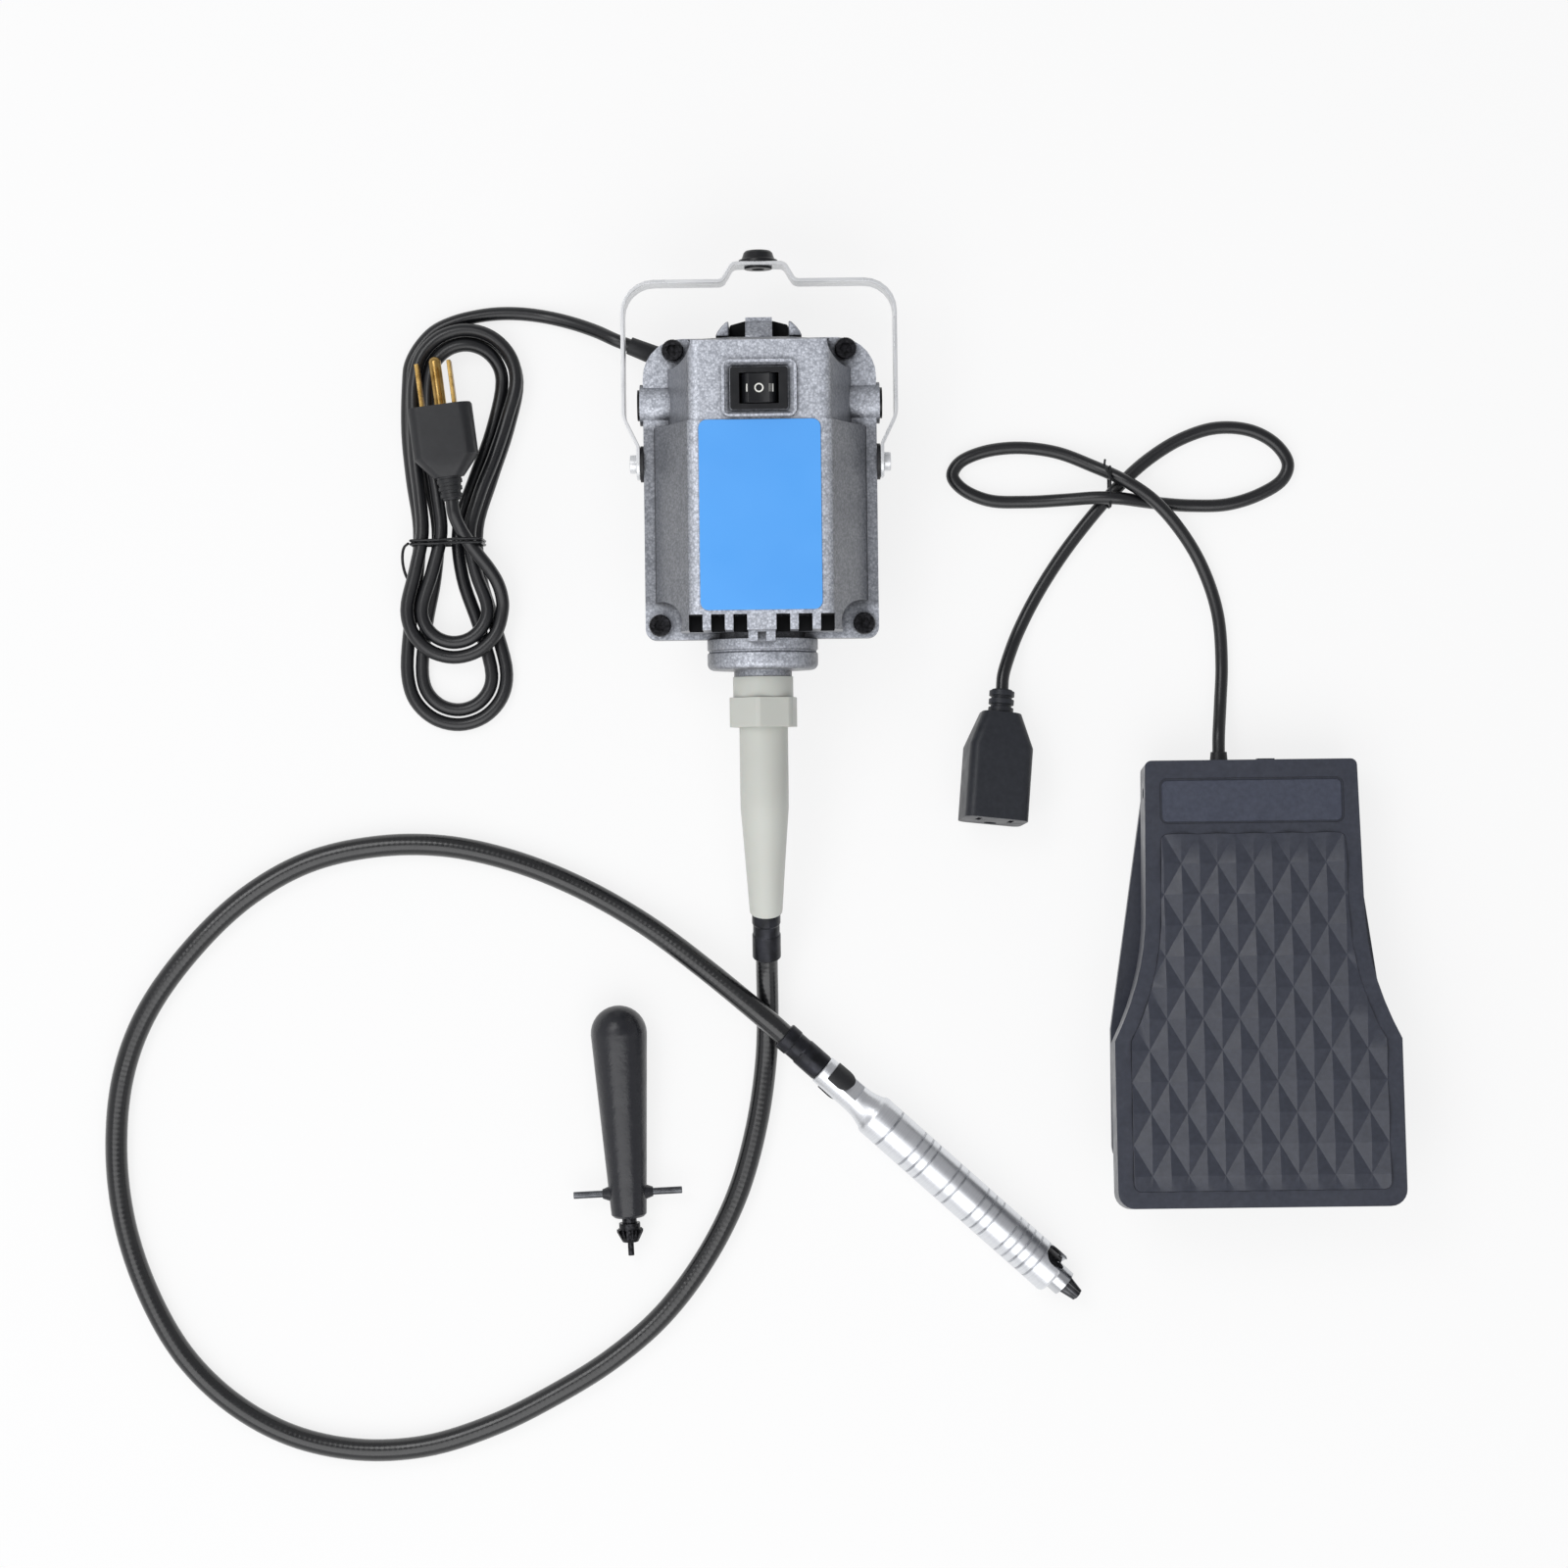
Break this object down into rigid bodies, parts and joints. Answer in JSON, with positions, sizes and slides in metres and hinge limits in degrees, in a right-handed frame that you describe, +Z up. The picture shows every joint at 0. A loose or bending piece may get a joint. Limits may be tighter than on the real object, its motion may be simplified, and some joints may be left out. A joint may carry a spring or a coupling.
{
  "type": "rotary tool with flex shaft",
  "caption": "Hanging motor with bail, flexible shaft, key-chuck handpiece, chuck key, hanked mains lead and foot speed pedal, laid out flat.",
  "frame": {"origin": "centre of the motor's back face, on which it lies", "axes": "+Y along the motor towards its hanging bail, +Z up from the table, +X to the pedal's side"},
  "size_m": [0.5093, 0.4726, 0.0783],
  "materials": {
    "cast": "hammered grey paint",
    "hardened": "blackened",
    "steel": "turned",
    "copper": "copper",
    "brass": "drawn",
    "carbon": "pressed carbon",
    "black_plastic": "moulded",
    "black_rubber": "moulded",
    "cord_jacket": "smooth jacket",
    "sheath_jacket": "finely ribbed jacket",
    "crimp": "black gloss",
    "name_plate": "blank plate",
    "chrome": "polished",
    "boot": "smooth",
    "polished": "polished",
    "pedal": "moulded",
    "white_plastic": "moulded"
  },
  "bodies": {
    "motor_unit": {"rear_housing": "cast", "front_housing": "cast", "housing_bolts": "hardened", "label_plate": "name_plate", "nose_cap": "cast", "stator_core": "steel", "field_coils": "copper", "motor_bearings": "steel", "brush_holders": "brass", "carbon_brushes": "carbon", "brush_springs": "steel", "brush_caps": "black_plastic", "switch_frame": "black_plastic", "pivot_bolts": "chrome", "pivot_washers": "black_rubber", "coupling_nut": "boot", "strain_boot": "boot", "motor_ferrule": "crimp", "flex_sheath": "sheath_jacket", "tool_ferrule": "crimp", "cord_gland": "black_rubber", "mains_cord": "cord_jacket", "mains_hank": "cord_jacket", "hank_tie": "cord_jacket", "mains_plug": "black_rubber", "plug_pins": "brass"},
    "armature": {"armature_shaft": "steel", "armature_core": "hardened", "commutator": "copper", "cooling_fan": "steel"},
    "bail": {"hanger_bail": "chrome", "hanger_grommet": "black_plastic"},
    "rocker": {"switch_rocker": "black_plastic"},
    "handpiece": {"grip_shell": "polished", "side_pads": "black_rubber", "grip_bearings": "steel"},
    "chuck_spindle": {"spindle": "steel"},
    "chuck_ring": {"chuck_sleeve": "hardened"},
    "jaw_a": {"jaw_1": "hardened"},
    "jaw_b": {"jaw_2": "hardened"},
    "jaw_c": {"jaw_3": "hardened"},
    "chuck_key": {"key_handle": "black_plastic", "key_pinion": "hardened", "key_pin": "steel"},
    "pedal": {"pedal_base": "pedal", "pedal_feet": "black_rubber", "hinge_pin": "steel", "return_spring": "steel", "speed_control": "black_plastic", "pedal_gland": "black_rubber", "pedal_cord": "cord_jacket", "lead_tie": "cord_jacket", "outlet_socket": "black_rubber"},
    "treadle": {"pedal_plate": "pedal", "tread_panel": "pedal"},
    "plunger": {"speed_plunger": "white_plastic"}
  },
  "joints": [
    {"name": "armature_spin", "type": "hinge", "parent": "motor_unit", "child": "armature", "pos_m": [0, 0, 0.038], "axis": [0, -1, 0], "continuous": true},
    {"name": "bail_swing", "type": "hinge", "parent": "motor_unit", "child": "bail", "pos_m": [0, 0.0103, 0.038], "axis": [1, 0, 0], "range_deg": [-15, 120]},
    {"name": "switch_rock", "type": "hinge", "parent": "motor_unit", "child": "rocker", "pos_m": [0, 0.035, 0.0725], "axis": [0, 1, 0], "range_deg": [-12, 12]},
    {"name": "handpiece_pull", "type": "slide", "parent": "motor_unit", "child": "handpiece", "axis": [0.7378, -0.6737, -0.0435], "range_m": [0, 0.03]},
    {"name": "spindle_spin", "type": "hinge", "parent": "handpiece", "child": "chuck_spindle", "pos_m": [0.06547, -0.26682, 0.01149], "axis": [0.7378, -0.6737, -0.0435], "continuous": true},
    {"name": "chuck_turn", "type": "hinge", "parent": "chuck_spindle", "child": "chuck_ring", "pos_m": [0.10383, -0.30185, 0.00923], "axis": [0.7378, -0.6737, -0.0435], "range_deg": [0, 1080]},
    {"name": "jaw_a_slide", "type": "slide", "parent": "chuck_spindle", "child": "jaw_a", "axis": [-0.6036, 0.795, -0.0613], "range_m": [0, 0.005]},
    {"name": "jaw_b_slide", "type": "slide", "parent": "chuck_spindle", "child": "jaw_b", "axis": [-0.715, 0.6528, 0.2503], "range_m": [0, 0.005]},
    {"name": "jaw_c_slide", "type": "slide", "parent": "chuck_spindle", "child": "jaw_c", "axis": [-0.8464, 0.529, -0.0613], "range_m": [0, 0.005]},
    {"name": "key_lift", "type": "slide", "parent": "motor_unit", "child": "chuck_key", "axis": [0, 0, 1], "range_m": [0, 0.06]},
    {"name": "pedal_lift", "type": "slide", "parent": "motor_unit", "child": "pedal", "axis": [0, 0, 1], "range_m": [0, 0.06]},
    {"name": "treadle_press", "type": "hinge", "parent": "pedal", "child": "treadle", "pos_m": [0.1902, -0.1195, 0.019], "axis": [1, 0, 0], "range_deg": [0, 7], "stiffness_Nm_per_rad": 1.5, "springref_deg": -11.46, "deforming": ["return_spring"]},
    {"name": "plunger_slide", "type": "slide", "parent": "pedal", "child": "plunger", "axis": [0, 0, -1], "range_m": [0, 0.00735]}
  ],
  "couplings": [
    {"joint": "spindle_spin", "follows": "armature_spin", "ratio": 1},
    {"joint": "jaw_b_slide", "follows": "jaw_a_slide", "ratio": 1},
    {"joint": "jaw_c_slide", "follows": "jaw_a_slide", "ratio": 1},
    {"joint": "chuck_turn", "follows": "jaw_a_slide", "rad_per_m": 3769},
    {"joint": "plunger_slide", "follows": "treadle_press", "m_per_rad": 0.06}
  ]
}
